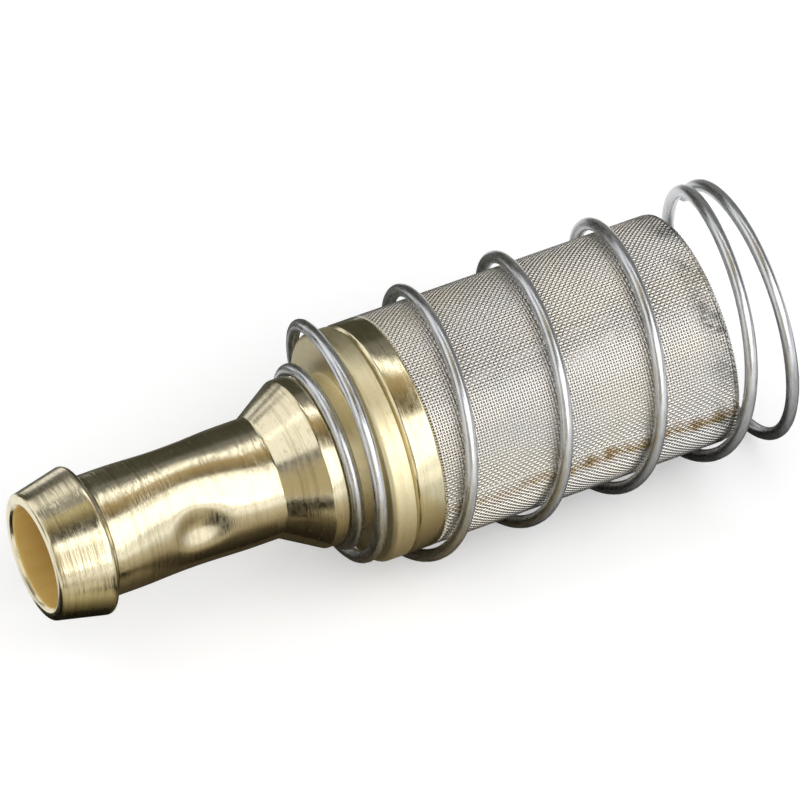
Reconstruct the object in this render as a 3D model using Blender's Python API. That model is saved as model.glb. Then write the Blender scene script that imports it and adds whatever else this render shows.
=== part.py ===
"""Suction strainer for an oil line: a hose tail with a ball foot valve, a woven basket and a guard spring.

Metres. +X runs along the axis from the hose mouth to the basket's closed end, +Z is up,
and the origin is the centre of the hose mouth.
"""
import math

import bmesh
import bpy
from mathutils import Matrix, Vector

MM = 0.001

# Hose tail, outside
NECK_RADIUS = 5.0 * MM
MOUTH_STEP = 0.2 * MM
MOUTH_ROUND = 0.35 * MM
BARB_LENGTH = 4.5 * MM
BARB_HEIGHT = 1.2 * MM
BARB_BACK_LENGTH = 0.6 * MM
BARB_ROUND = 0.4 * MM
NECK_LENGTH = 14.6 * MM
CONE_LENGTH = 3.4 * MM
CONE_RISE = 2.0 * MM
CONE_ROOT_ROUND = 0.3 * MM
LIP_WIDTH = 0.95 * MM
GROOVE_WIDTH = 2.9 * MM
GROOVE_DEPTH = 0.65 * MM
COLLAR_RADIUS = 9.55 * MM
COLLAR_WIDTH = 1.75 * MM
COLLAR_CHAMFER = 0.3 * MM

# Hose tail, inside
NECK_WALL = 0.8 * MM
MOUTH_COUNTERSINK = 0.3 * MM
GROOVE_WALL = 1.0 * MM
SHOULDER_SETBACK = 0.9 * MM

# Foot valve
BALL_CLEARANCE = 0.8 * MM
BALL_LIFT = 2.5 * MM
SEAT_NOSE_LENGTH = 3.25 * MM
SEAT_FLANGE_LENGTH = 2.3 * MM
SEAT_LAP = 0.2 * MM
SEAT_CONE_DEPTH = 1.2 * MM
SEAT_CONE_ANGLE = math.radians(45.0)
SEAT_WALL = 1.7 * MM
SEAT_BACK_DEPTH = 1.6 * MM
CRIMP_HOLD = 0.5 * MM
CRIMP_HALF_WIDTH = 2.3 * MM
CRIMP_STOP = 2.6 * MM
CRIMP_ANGLE = math.radians(170.0)
CRIMP_COUNT = 2

# Strainer ring and basket
RING_COLLAR_WIDTH = 2.4 * MM
RING_CHAMFER = 0.35 * MM
RING_SPIGOT_WALL = 1.2 * MM
RING_CUP_WALL = 1.4 * MM
RING_CUP_FLOOR = 1.2 * MM
RING_TONGUE_LENGTH = 3.0 * MM
MESH_THICKNESS = 0.4 * MM
MESH_LENGTH = 25.7 * MM
MESH_END_ROUND = 0.3 * MM
MESH_END_DEPTH = 2.6 * MM

# Guard spring
WIRE_DIAMETER = 1.05 * MM
SPRING_OVERHANG = 5.3 * MM
SPRING_CLIMB = 2.0 * MM
SPRING_CREEP = 0.4 * MM
SPRING_HOP = 5.0 * MM
SPRING_PITCH = 8.35 * MM
SPRING_CLOSE = 2.4 * MM
SPRING_END_PITCH = 1.55 * MM
SPRING_LEAN = 0.8 * MM
SPRING_START_ANGLE = math.radians(239.0)
SPRING_LEAN_ANGLE = math.radians(131.0)
SEAT_TURNS = 0.5
CLIMB_TURNS = 0.75
CREEP_TURNS = 0.25
HOP_TURNS = 0.55
OPEN_TURNS = 2.5
DRAW_IN_TURNS = 0.75
CLOSE_TURNS = 0.25
END_TURNS = 1.0

# Pieces that touch on the real part stand this far apart
FIT_GAP = 0.3 * MM

# Facets
TURNED_SEGMENTS = 48
FILLET_STEPS = 4
CRIMP_RINGS = 12
BALL_SEGMENTS = 32
CURL_POINTS = 10
CURL_RESOLUTION = 3
CURL_GAP_POINTS = 48
SHARP_ANGLE = math.radians(35.0)

# Radii worked out from the sizes above
BORE_RADIUS = NECK_RADIUS - NECK_WALL
MOUTH_RADIUS = NECK_RADIUS + MOUTH_STEP
BARB_RADIUS = NECK_RADIUS + BARB_HEIGHT
LIP_RADIUS = NECK_RADIUS + CONE_RISE
GROOVE_RADIUS = LIP_RADIUS - GROOVE_DEPTH
SOCKET_RADIUS = GROOVE_RADIUS - GROOVE_WALL
BALL_RADIUS = BORE_RADIUS - BALL_CLEARANCE
BALL_CONTACT = BALL_RADIUS * math.sin(SEAT_CONE_ANGLE)
SEAT_HOLE_RADIUS = BALL_CONTACT - SEAT_LAP
SEAT_NOSE_RADIUS = BORE_RADIUS - FIT_GAP
SEAT_FLANGE_RADIUS = SOCKET_RADIUS - FIT_GAP
SEAT_BACK_RADIUS = SEAT_FLANGE_RADIUS - SEAT_WALL
RING_SPIGOT_RADIUS = SOCKET_RADIUS - FIT_GAP
RING_BORE_RADIUS = RING_SPIGOT_RADIUS - RING_SPIGOT_WALL
MESH_RADIUS = COLLAR_RADIUS
MESH_INNER_RADIUS = MESH_RADIUS - MESH_THICKNESS
RING_TONGUE_RADIUS = MESH_INNER_RADIUS - FIT_GAP
RING_CUP_RADIUS = RING_TONGUE_RADIUS - RING_CUP_WALL
END_CUP_RADIUS = MESH_INNER_RADIUS - FIT_GAP
WIRE_RADIUS = WIRE_DIAMETER / 2
SEAT_COIL_RADIUS = GROOVE_RADIUS + FIT_GAP + WIRE_RADIUS
OPEN_COIL_RADIUS = MESH_RADIUS + FIT_GAP + WIRE_RADIUS
CRIMP_DEPTH = BALL_CLEARANCE + CRIMP_HOLD

# Stations along X, each reckoned from the one before it
BARB_TOP_X = BARB_LENGTH
NECK_X = BARB_TOP_X + BARB_BACK_LENGTH
CONE_X = NECK_X + NECK_LENGTH
LIP_X = CONE_X + CONE_LENGTH
GROOVE_X = LIP_X + LIP_WIDTH
COLLAR_X = GROOVE_X + GROOVE_WIDTH
BODY_END_X = COLLAR_X + COLLAR_WIDTH
SHOULDER_X = LIP_X - SHOULDER_SETBACK
SEAT_FLANGE_X = SHOULDER_X + FIT_GAP
SEAT_NOSE_X = SEAT_FLANGE_X - SEAT_NOSE_LENGTH
SEAT_END_X = SEAT_FLANGE_X + SEAT_FLANGE_LENGTH
RING_SPIGOT_X = SEAT_END_X + FIT_GAP
RING_COLLAR_X = BODY_END_X + FIT_GAP
RING_TONGUE_X = RING_COLLAR_X + RING_COLLAR_WIDTH
RING_END_X = RING_TONGUE_X + RING_TONGUE_LENGTH
MESH_X = RING_TONGUE_X + FIT_GAP
MESH_END_X = MESH_X + MESH_LENGTH
SEAT_CONTACT_X = SEAT_NOSE_X + SEAT_CONE_DEPTH - SEAT_LAP
BALL_X = SEAT_CONTACT_X - BALL_CONTACT - FIT_GAP / math.sin(SEAT_CONE_ANGLE)
CRIMP_X = BALL_X - BALL_LIFT - CRIMP_STOP
SEAT_COIL_X = GROOVE_X + FIT_GAP + WIRE_RADIUS
CLIMB_COIL_X = COLLAR_X - FIT_GAP - WIRE_RADIUS
CREEP_COIL_X = CLIMB_COIL_X + SPRING_CREEP
HOP_COIL_X = CREEP_COIL_X + SPRING_HOP
OPEN_COIL_X = HOP_COIL_X + SPRING_PITCH * OPEN_TURNS
SPRING_TIP_X = MESH_END_X + SPRING_OVERHANG - WIRE_RADIUS
END_COIL_X = SPRING_TIP_X - SPRING_END_PITCH * END_TURNS
CLOSE_COIL_X = END_COIL_X - SPRING_CLOSE

# The guard spring's wire, stretch by stretch: turns, then radius, X and lean at the stretch's end
SPRING_COURSE = [
    (0.0, SEAT_COIL_RADIUS, SEAT_COIL_X, 0.0),
    (SEAT_TURNS, SEAT_COIL_RADIUS, SEAT_COIL_X, 0.0),
    (CLIMB_TURNS, SEAT_COIL_RADIUS + SPRING_CLIMB, CLIMB_COIL_X, 0.0),
    (CREEP_TURNS, OPEN_COIL_RADIUS, CREEP_COIL_X, 0.0),
    (HOP_TURNS, OPEN_COIL_RADIUS, HOP_COIL_X, SPRING_LEAN),
    (OPEN_TURNS, OPEN_COIL_RADIUS, OPEN_COIL_X, SPRING_LEAN),
    (DRAW_IN_TURNS, OPEN_COIL_RADIUS, CLOSE_COIL_X, SPRING_LEAN),
    (CLOSE_TURNS, OPEN_COIL_RADIUS, END_COIL_X, 0.0),
    (END_TURNS, OPEN_COIL_RADIUS, SPRING_TIP_X, 0.0),
]
SPRING_TURNS = sum(stretch[0] for stretch in SPRING_COURSE)


def clear_scene():
    for thing in list(bpy.data.objects):
        bpy.data.objects.remove(thing, do_unlink=True)


def metal(name, colour, roughness):
    """A Principled metal in the colour the piece has."""
    material = bpy.data.materials.new(name)
    material.use_nodes = True
    shader = material.node_tree.nodes["Principled BSDF"]
    shader.inputs["Base Color"].default_value = (*colour, 1.0)
    shader.inputs["Metallic"].default_value = 1.0
    shader.inputs["Roughness"].default_value = roughness
    return material


def fillet(before, corner, after, radius):
    """The arc that rounds one corner of an outline, as points from one side to the other."""
    to_before = (before - corner).normalized()
    to_after = (after - corner).normalized()
    half = to_before.angle(to_after) / 2
    centre = corner + (to_before + to_after).normalized() * (radius / math.sin(half))
    first = corner + to_before * (radius / math.tan(half)) - centre
    last = corner + to_after * (radius / math.tan(half)) - centre
    sweep = math.atan2(first.cross(last), first.dot(last))
    turns = [Matrix.Rotation(sweep * step / FILLET_STEPS, 2) for step in range(FILLET_STEPS + 1)]
    return [centre + turn @ first for turn in turns]


def rounded(corners):
    """Turns (x, radius, rounding) corners into outline points, with the rounded corners as arcs."""
    places = [Vector((x, r)) for x, r, rounding in corners]
    points = []
    for index, (x, r, rounding) in enumerate(corners):
        if rounding > 0:
            after = places[(index + 1) % len(places)]
            points += fillet(places[index - 1], places[index], after, rounding)
        else:
            points.append(places[index])
    return points


def turned(corners, closed=True):
    """A solid of revolution about X: a closed outline, or one whose two ends lie on the axis."""
    bm = bmesh.new()
    outline = [bm.verts.new((point.x, 0.0, point.y)) for point in rounded(corners)]
    edges = [bm.edges.new(pair) for pair in zip(outline, outline[1:])]
    if closed:
        edges.append(bm.edges.new((outline[-1], outline[0])))
    bmesh.ops.spin(
        bm, geom=outline + edges, cent=(0, 0, 0), axis=(1, 0, 0), dvec=(0, 0, 0),
        angle=math.tau, steps=TURNED_SEGMENTS, use_merge=True, use_duplicate=False,
    )
    bmesh.ops.remove_doubles(bm, verts=bm.verts, dist=0.001 * MM)
    bmesh.ops.recalc_face_normals(bm, faces=bm.faces)
    return bm


def add_piece(name, bm, material, place=(0, 0, 0)):
    """Makes a bmesh into a named, smooth-shaded object."""
    mesh = bpy.data.meshes.new(name)
    bm.to_mesh(mesh)
    bm.free()
    mesh.materials.append(material)
    mesh.shade_smooth()
    mesh.set_sharp_from_angle(angle=SHARP_ANGLE)
    piece = bpy.data.objects.new(name, mesh)
    piece.location = place
    bpy.context.collection.objects.link(piece)
    return piece


def crimp_inset(x, angle):
    """How far the neck's wall is pushed in at a place: one smooth dimple for each crimp."""
    inset = 0.0
    for index in range(CRIMP_COUNT):
        turn = angle - CRIMP_ANGLE - index * math.tau / CRIMP_COUNT
        around = NECK_RADIUS * math.remainder(turn, math.tau)
        share = min(math.hypot(x - CRIMP_X, around) / CRIMP_HALF_WIDTH, 1.0)
        inset += CRIMP_DEPTH * math.cos(share * math.pi / 2) ** 2
    return inset


def crimp_stations(radius):
    """Plain rings on the neck's wall, close enough together to take the dimples."""
    spacing = 2 * CRIMP_HALF_WIDTH / CRIMP_RINGS
    first = CRIMP_X - CRIMP_HALF_WIDTH
    return [(first + index * spacing, radius, 0) for index in range(CRIMP_RINGS + 1)]


def hose_tail_body():
    outside = [
        (0, MOUTH_RADIUS, MOUTH_ROUND),
        (BARB_TOP_X, BARB_RADIUS, BARB_ROUND),
        (NECK_X, NECK_RADIUS, 0),
        *crimp_stations(NECK_RADIUS),
        (CONE_X, NECK_RADIUS, CONE_ROOT_ROUND),
        (LIP_X, LIP_RADIUS, 0),
        (GROOVE_X, LIP_RADIUS, 0),
        (GROOVE_X, GROOVE_RADIUS, 0),
        (COLLAR_X, GROOVE_RADIUS, 0),
        (COLLAR_X, COLLAR_RADIUS - COLLAR_CHAMFER, 0),
        (COLLAR_X + COLLAR_CHAMFER, COLLAR_RADIUS, 0),
        (BODY_END_X, COLLAR_RADIUS, 0),
    ]
    inside = [
        (0, BORE_RADIUS + MOUTH_COUNTERSINK, 0),
        (MOUTH_COUNTERSINK, BORE_RADIUS, 0),
        *crimp_stations(BORE_RADIUS),
        (SHOULDER_X, BORE_RADIUS, 0),
        (SHOULDER_X, SOCKET_RADIUS, 0),
        (BODY_END_X, SOCKET_RADIUS, 0),
    ]
    bm = turned(outside + inside[::-1])
    for vert in bm.verts:
        radius = math.hypot(vert.co.y, vert.co.z)
        inset = crimp_inset(vert.co.x, math.atan2(vert.co.z, vert.co.y))
        vert.co.yz = vert.co.yz * (1 - inset / radius)
    add_piece("hose_tail_body", bm, metal("turned_brass", (0.72, 0.60, 0.34), 0.28))


def valve_ball():
    bm = bmesh.new()
    poles_on_axis = Matrix.Rotation(math.radians(90), 4, "Y")
    bmesh.ops.create_uvsphere(
        bm, u_segments=BALL_SEGMENTS, v_segments=BALL_SEGMENTS // 2, radius=BALL_RADIUS, matrix=poles_on_axis,
    )
    add_piece("valve_ball", bm, metal("ball_steel", (0.62, 0.63, 0.65), 0.12), place=(BALL_X, 0, 0))


def valve_seat():
    seat_mouth = SEAT_HOLE_RADIUS + SEAT_CONE_DEPTH
    outline = [
        (SEAT_NOSE_X, SEAT_NOSE_RADIUS, 0),
        (SEAT_FLANGE_X, SEAT_NOSE_RADIUS, 0),
        (SEAT_FLANGE_X, SEAT_FLANGE_RADIUS, 0),
        (SEAT_END_X, SEAT_FLANGE_RADIUS, 0),
        (SEAT_END_X, SEAT_BACK_RADIUS, 0),
        (SEAT_END_X - SEAT_BACK_DEPTH, SEAT_BACK_RADIUS, 0),
        (SEAT_END_X - SEAT_BACK_DEPTH, SEAT_HOLE_RADIUS, 0),
        (SEAT_NOSE_X + SEAT_CONE_DEPTH, SEAT_HOLE_RADIUS, 0),
        (SEAT_NOSE_X, seat_mouth, 0),
    ]
    add_piece("valve_seat", turned(outline), metal("seat_brass", (0.74, 0.58, 0.30), 0.30))


def strainer_ring():
    outline = [
        (RING_SPIGOT_X, RING_SPIGOT_RADIUS, 0),
        (RING_COLLAR_X, RING_SPIGOT_RADIUS, 0),
        (RING_COLLAR_X, COLLAR_RADIUS - RING_CHAMFER, 0),
        (RING_COLLAR_X + RING_CHAMFER, COLLAR_RADIUS, 0),
        (RING_TONGUE_X, COLLAR_RADIUS, 0),
        (RING_TONGUE_X, RING_TONGUE_RADIUS, 0),
        (RING_END_X, RING_TONGUE_RADIUS, 0),
        (RING_END_X, RING_CUP_RADIUS, 0),
        (RING_COLLAR_X + RING_CUP_FLOOR, RING_CUP_RADIUS, 0),
        (RING_COLLAR_X + RING_CUP_FLOOR, RING_BORE_RADIUS, 0),
        (RING_SPIGOT_X, RING_BORE_RADIUS, 0),
    ]
    add_piece("strainer_ring", turned(outline), metal("ring_brass", (0.75, 0.64, 0.38), 0.22))


def strainer_mesh_tube():
    outline = [
        (MESH_X, MESH_RADIUS, 0),
        (MESH_END_X, MESH_RADIUS, MESH_END_ROUND),
        (MESH_END_X, MESH_INNER_RADIUS, 0),
        (MESH_X, MESH_INNER_RADIUS, 0),
    ]
    add_piece("strainer_mesh_tube", turned(outline), metal("woven_steel", (0.60, 0.60, 0.58), 0.45))


def strainer_mesh_end():
    inner_radius = END_CUP_RADIUS - MESH_THICKNESS
    outline = [
        (MESH_END_X, 0, 0),
        (MESH_END_X, END_CUP_RADIUS, MESH_END_ROUND),
        (MESH_END_X - MESH_END_DEPTH, END_CUP_RADIUS, 0),
        (MESH_END_X - MESH_END_DEPTH, inner_radius, 0),
        (MESH_END_X - MESH_THICKNESS, inner_radius, 0),
        (MESH_END_X - MESH_THICKNESS, 0, 0),
    ]
    bm = turned(outline, closed=False)
    add_piece("strainer_mesh_end", bm, metal("woven_end_steel", (0.58, 0.58, 0.56), 0.45))


def spring_place(turn):
    """Radius, X and angle of the guard spring's wire at a turn count from its first end."""
    reached = 0.0
    for before, after in zip(SPRING_COURSE, SPRING_COURSE[1:]):
        share = (turn - reached) / after[0]
        reached += after[0]
        if turn <= reached:
            break
    radius, x, lean = [low + (high - low) * share for low, high in zip(before[1:], after[1:])]
    angle = SPRING_START_ANGLE - turn * math.tau
    return radius, x + lean * math.cos(angle - SPRING_LEAN_ANGLE), angle


def spring_point(turn, grown=1.0):
    radius, x, angle = spring_place(turn)
    return Vector((x, radius * grown * math.cos(angle), radius * grown * math.sin(angle)))


def spring_least_gap():
    """The least clear gap between the wire and itself, measured on points of its centre line."""
    count = round(SPRING_TURNS * CURL_GAP_POINTS) + 1
    points = [spring_point(index / CURL_GAP_POINTS) for index in range(count)]
    nearest = min(
        (points[later] - points[earlier]).length
        for earlier in range(len(points))
        for later in range(earlier + CURL_GAP_POINTS // 2, len(points))
    )
    return nearest - WIRE_DIAMETER


def guard_spring():
    step = 1 / CURL_POINTS
    # A cubic spline runs inside its points, so these stand out by what it takes back.
    grown = 3 / (2 + math.cos(step * math.tau))
    count = round(SPRING_TURNS * CURL_POINTS) + 3
    curve = bpy.data.curves.new("guard_spring", "CURVE")
    curve.dimensions = "3D"
    curve.bevel_depth = WIRE_RADIUS
    curve.bevel_resolution = 1
    curve.use_fill_caps = True
    curve.resolution_u = CURL_RESOLUTION
    spline = curve.splines.new("NURBS")
    spline.points.add(count - 1)
    for index, point in enumerate(spline.points):
        point.co = (*spring_point((index - 1) * step, grown), 1.0)
    spline.order_u = 4
    spline.resolution_u = CURL_RESOLUTION
    spline.use_smooth = True
    curve.materials.append(metal("spring_steel", (0.52, 0.54, 0.56), 0.25))
    piece = bpy.data.objects.new("guard_spring", curve)
    bpy.context.collection.objects.link(piece)
    print(f"guard_spring: least gap to itself {spring_least_gap() / MM:.2f} mm")


clear_scene()
hose_tail_body()
valve_ball()
valve_seat()
strainer_ring()
strainer_mesh_tube()
strainer_mesh_end()
guard_spring()
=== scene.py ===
"""Looks of an oil-line suction strainer: turned brass tail, woven wire basket and guard spring.

Metres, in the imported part's frame: +X runs from the hose mouth to the basket's closed end, +Z is up.
"""
import math

import bmesh
import bpy
import numpy as np
from mathutils import Matrix, Quaternion, Vector


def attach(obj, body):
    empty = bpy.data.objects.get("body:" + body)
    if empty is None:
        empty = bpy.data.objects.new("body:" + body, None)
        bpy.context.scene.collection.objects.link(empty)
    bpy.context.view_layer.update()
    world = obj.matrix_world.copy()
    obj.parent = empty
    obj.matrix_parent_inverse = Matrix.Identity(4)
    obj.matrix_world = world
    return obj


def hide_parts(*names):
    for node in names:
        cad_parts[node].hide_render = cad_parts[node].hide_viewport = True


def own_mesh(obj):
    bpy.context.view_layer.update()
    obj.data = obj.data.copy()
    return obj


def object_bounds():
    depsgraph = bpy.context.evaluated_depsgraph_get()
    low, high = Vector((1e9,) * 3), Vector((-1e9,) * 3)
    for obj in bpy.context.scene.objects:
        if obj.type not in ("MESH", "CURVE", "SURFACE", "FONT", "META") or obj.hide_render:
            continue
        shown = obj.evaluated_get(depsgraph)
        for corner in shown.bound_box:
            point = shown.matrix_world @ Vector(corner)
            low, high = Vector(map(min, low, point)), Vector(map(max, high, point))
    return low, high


MM = 0.001
QUARTER_TURN = math.pi / 2

# Hose tail, as in the part's source
NECK_RADIUS = 5.0 * MM
MOUTH_RADIUS = 5.2 * MM
BARB_RADIUS = 6.2 * MM
BARB_TOP_X = 4.5 * MM
NECK_X = 5.1 * MM
CONE_X = 19.7 * MM
LIP_X = 23.1 * MM
LIP_RADIUS = 7.0 * MM
GROOVE_X = 24.3 * MM
GROOVE_RADIUS = 6.35 * MM
COLLAR_X = 26.95 * MM
COLLAR_RADIUS = 9.55 * MM
COLLAR_CHAMFER = 0.3 * MM
BODY_END_X = 28.92 * MM
BORE_RADIUS = 4.2 * MM
SOCKET_RADIUS = 5.35 * MM
SHOULDER_X = 22.2 * MM
MOUTH_COUNTERSINK = 0.3 * MM

# Finishes of the tail, in the order of its materials
BRIGHT, BORED, MATT, SMOOTH = range(4)

# Crimp: a wide flattening of the neck with a pit at its middle, steeper on the mouth's side
CRIMP_X = 12.32 * MM
CRIMP_ANGLE = math.radians(164.0)
CRIMP_COUNT = 2
CRIMP_WIDE = 7.2 * MM
CRIMP_WIDE_DEPTH = 0.85 * MM
CRIMP_PIT_BEFORE = 2.3 * MM
CRIMP_PIT_AFTER = 3.6 * MM
CRIMP_PIT_ROUND = 3.0 * MM
CRIMP_PIT_DEPTH = 0.5 * MM
CRIMP_STOP_WIDTH = 2.3 * MM
CRIMP_STOP_DEPTH = 1.3 * MM
CRIMP_WALL_LOSS = 0.6 * MM

# Foot valve
BALL_X = 17.42 * MM
BALL_RADIUS = 3.4 * MM
SEAT_NOSE_X = 19.25 * MM
SEAT_NOSE_RADIUS = 3.9 * MM
SEAT_FLANGE_X = 22.5 * MM
SEAT_FLANGE_RADIUS = 5.05 * MM
SEAT_END_X = 24.8 * MM
SEAT_BACK_X = 23.2 * MM
SEAT_BACK_RADIUS = 3.35 * MM
SEAT_HOLE_RADIUS = 2.2 * MM
SEAT_CONE_DEPTH = 1.2 * MM

# Strainer ring
RING_SPIGOT_X = 25.1 * MM
RING_SPIGOT_RADIUS = 5.05 * MM
RING_BORE_RADIUS = 3.85 * MM
RING_COLLAR_X = 29.0 * MM
RING_CHAMFER = 0.35 * MM
RING_BACK_CHAMFER = 0.14 * MM
RING_TONGUE_X = 31.55 * MM
RING_TONGUE_RADIUS = 8.85 * MM
RING_CUP_X = 30.2 * MM
RING_CUP_RADIUS = 7.45 * MM
RING_END_X = 34.4 * MM

# Rounding of turned edges
BARB_EDGE = 0.3 * MM
MOUTH_EDGE = 0.28 * MM
SPIGOT_EDGE = 0.2 * MM
COLLAR_EDGE = 0.18 * MM
SEAT_EDGE = 0.15 * MM
ROOT_EDGE = 0.12 * MM
PLAIN_EDGE = 0.1 * MM
FINE_EDGE = 0.08 * MM
CRISP_EDGE = 0.05 * MM
SQUARE_EDGE = 0.0

# Basket of woven wire cloth
CLOTH_WIRE = 0.15 * MM
CLOTH_AROUND = 240
CLOTH_STEP = math.tau / CLOTH_AROUND
CLOTH_SIDE = 0.9
CLOTH_CORNER = 0.64
CLOTH_PITCH = 0.245 * MM
CLOTH_RADIUS = 9.4 * MM
CLOTH_X = 31.5 * MM
CLOTH_END_X = 57.4 * MM
CLOTH_BEND = 0.35 * MM
CLOTH_TURN_IN = 0.6 * MM
LAP_ANGLE = math.radians(183.0)
LAP_WIRES = 9
LAP_LIFT = 0.2 * MM
SKIRT_RADIUS = 8.95 * MM
SKIRT_X = 54.8 * MM
END_CLOTH_RADIUS = 8.95 * MM
END_CLOTH_X = 57.15 * MM

# Spot welds along the lap: a beat sets how a weld differs from the next
WELD_SPACING = 2.4 * MM
WELD_RADIUS = 0.8 * MM
WELD_CORE = 1.2
WELD_SHIFT = 0.25
WELD_SHIFT_BEAT = 4.7
WELD_WANDER = 0.25 * MM
WELD_WANDER_BEAT = 2.4
WELD_STRENGTH = 0.75
WELD_STRENGTH_BEAT = 5.1
WELD_GROWTH = 14 * MM
FIRST_WELD = 0.35
SEAM_TINT = 0.5
CROSSING_LEAST = 0.2
CROSSING_MIX = (12.9898, 78.233, 43758.5453)

# Painted shade over the cup's skirt: grey blotches round the basket
HEM_SHADE_SCALE = 1.2 * MM
SMALL_BLOTCHES = 9
LARGE_BLOTCHES = 4
BLOTCH_SWAY = 1.3
BLOTCH_START = 2.0

# Guard spring: turns from its first end, radius, place along X and lean
WIRE_RADIUS = 0.525 * MM
SEAT_COIL_RADIUS = 7.175 * MM
CLIMB_COIL_RADIUS = 9.175 * MM
OPEN_COIL_RADIUS = 10.345 * MM
SPRING_SEAT_X = 24.875 * MM
CLIMB_COIL_X = 26.125 * MM
CREEP_COIL_X = 26.525 * MM
HOP_COIL_X = 31.525 * MM
OPEN_COIL_X = 52.4 * MM
DRAW_IN_COIL_X = 58.225 * MM
CLOSED_COIL_X = 61.0 * MM
SPRING_TIP_X = 62.1 * MM
SPRING_LEAN = 0.8 * MM
SPRING_COURSE = [
    (0.0, SEAT_COIL_RADIUS, SPRING_SEAT_X, 0.0),
    (0.5, SEAT_COIL_RADIUS, SPRING_SEAT_X, 0.0),
    (1.25, CLIMB_COIL_RADIUS, CLIMB_COIL_X, 0.0),
    (1.5, OPEN_COIL_RADIUS, CREEP_COIL_X, 0.0),
    (2.05, OPEN_COIL_RADIUS, HOP_COIL_X, SPRING_LEAN),
    (4.55, OPEN_COIL_RADIUS, OPEN_COIL_X, SPRING_LEAN),
    (5.3, OPEN_COIL_RADIUS, DRAW_IN_COIL_X, SPRING_LEAN),
    (5.55, OPEN_COIL_RADIUS, CLOSED_COIL_X, 0.0),
    (6.55, OPEN_COIL_RADIUS, SPRING_TIP_X, 0.0),
]
SPRING_START_ANGLE = math.radians(239.0)
SPRING_LEAN_ANGLE = math.radians(131.0)
SPRING_POINTS = 10
WIRE_LENGTH = 408 * MM

# Patterns of the finishes
TOOL_RING = 0.4 * MM
TOOL_SWEEP = 11.111 * MM
SPECK_LENGTH = 0.3 * MM
SPECK_ROUND = 0.6 * MM
BORE_STREAK_LENGTH = 4 * MM
BORE_STREAK_WIDTH = 1 * MM
WIRE_LINE_LENGTH = 1.36 * MM
WIRE_LINE_WIDTH = 0.2356 * MM
CLOTH_PATCH = 7.143 * MM
BALL_HAZE = 1.111 * MM
ROUGHNESS_LESS = 0.04
ROUGHNESS_MORE = 0.12

# Facets
TURNED_STEPS = 240
EDGE_STEPS = 5
WALL_FACET = 0.33 * MM
MERGE_DISTANCE = 0.0005 * MM
BALL_AROUND = 64
BALL_RINGS = 32
WIRE_ROUNDING = 6
WIRE_STEPS = 8
FLOOR_STEPS = 96

# Camera: a long lens above the tail's side, 800 by 800 pixels at 12.65 pixels per mm
LOOK = Vector((0.31, 0.6262, -0.7154)).normalized()
PHOTO_SIZE = 800
PHOTO_SCALE = 12.65 / MM
MOUTH_PIXEL = (36.2, 557.0)
CAMERA_DISTANCE = 1.2
CAMERA_REACH = 10.0
SENSOR = 36.0

# Studio
PART_MIDDLE = Vector((31 * MM, 0, 0))
FLOOR_RADIUS = 1.5
FLOOR_GLOW = 0.3
WORLD_LEVEL = 0.2
LAMP_DISTANCE = 0.6

# Lamps: degrees round the part's axis, lean towards +X, width and height, brightness, roll in degrees
LAMPS = {
    "key": (138, 0.27, (0.9, 0.66), 1.9, 12),
    "top_strip": (71, 0.31, (0.5, 0.1), 2.4, 0),
    "front_fill": (179, 0.25, (0.6, 0.2), 0.9, 0),
    "barb_fill": (168, -0.08, (0.2, 0.09), 1.0, 0),
    "left_top": (86.33, -0.6215, (0.5, 0.5), 1.05, 0),
    "left": (125.54, -0.9379, (0.4, 0.3), 0.9, 0),
    "back_left": (33.69, -0.4224, (0.5, 0.5), 1.0, 0),
}

# Cards round the part, in mm: tones by their place along Y, width and height, and middle above the
# floor. A plain card has its tone twice
# These cards paint reflections on the metal: tones that darken towards the part paint its shadow on the
# floor, dark and grey cards paint dark surroundings, and gold tones paint warm reflections.
BACK_TONES = {6: "#5A5A50", 50: "#66665C"}
LEVEL_CARDS = {
    "flag_below": (
        {-75: "#E8E2D2", -30: "#CCC2AA", -14: "#968A6E", -7: "#5E5542", 5: "#3E3930"},
        (58, 80), (9, -35, 0.1),
    ),
    "flag_below_basket": (
        {-75: "#F0F0EE", -30: "#DCDCDA", -14: "#B0B0AC", -8: "#4A4A46", 5: "#1C1C1A"},
        (56, 80), (66, -35, 0.1),
    ),
    "flag_below_barb": (
        {-75: "#F2ECE0", -30: "#E8E0CC", -16: "#C8BC98", -10: "#7A7052", -6: "#1E1C14", 3: "#100F0C"},
        (26, 78), (-7, -36, 0.15),
    ),
    "flag_below_cone": ({-19: "#8A7E62", -13: "#4A4234", -5: "#1E1B14"}, (9, 14), (18.5, -12, 0.15)),
    "flag_floor_behind_mouth": (BACK_TONES, (14.5, 44), (10.25, 28, 0.1)),
    "flag_floor_behind_basket": (BACK_TONES, (23.5, 44), (34.25, 28, 0.1)),
    "flag_floor_behind_cone": ({6: "#5A5A50", 17: "#66665C"}, (5, 11), (20, 11.5, 0.1)),
    "flag_floor_behind_far": ({25: "#5A5A50", 50: "#66665C"}, (5, 25), (20, 37.5, 0.1)),
    "flag_above_neck": (
        {-105: "#5C5232", -60: "#85744A", -10: "#B69C68", 46: "#D8BE8C"}, (130, 151), (95, -29.5, 260.9),
    ),
    "flag_above_ring": ({-34: "#5E5028", -16: "#7A683A"}, (20, 18), (46, -25, 60.9)),
    "flag_above_mouth": (
        {-150: "#332E20", -70: "#3A3424", -25: "#9A8E66", 20: "#E0D4AC", 60: "#E6DAB4"},
        (134, 210), (-43, -45, 260.9),
    ),
}
# Upright cards behind the part paint dark and grey reflections along its top.
UPRIGHT_CARDS = {
    "flag_behind": ({0: "#4A4A40", 1: "#4A4A40"}, (40, 54), (38, 50, 27)),
    "flag_behind_basket": ({0: "#82827E", 1: "#82827E"}, (120, 54), (118, 50, 27)),
    "flag_behind_mouth": ({0: "#4A4A40", 1: "#4A4A40"}, (21, 36), (-5, 50, 18)),
}
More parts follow.
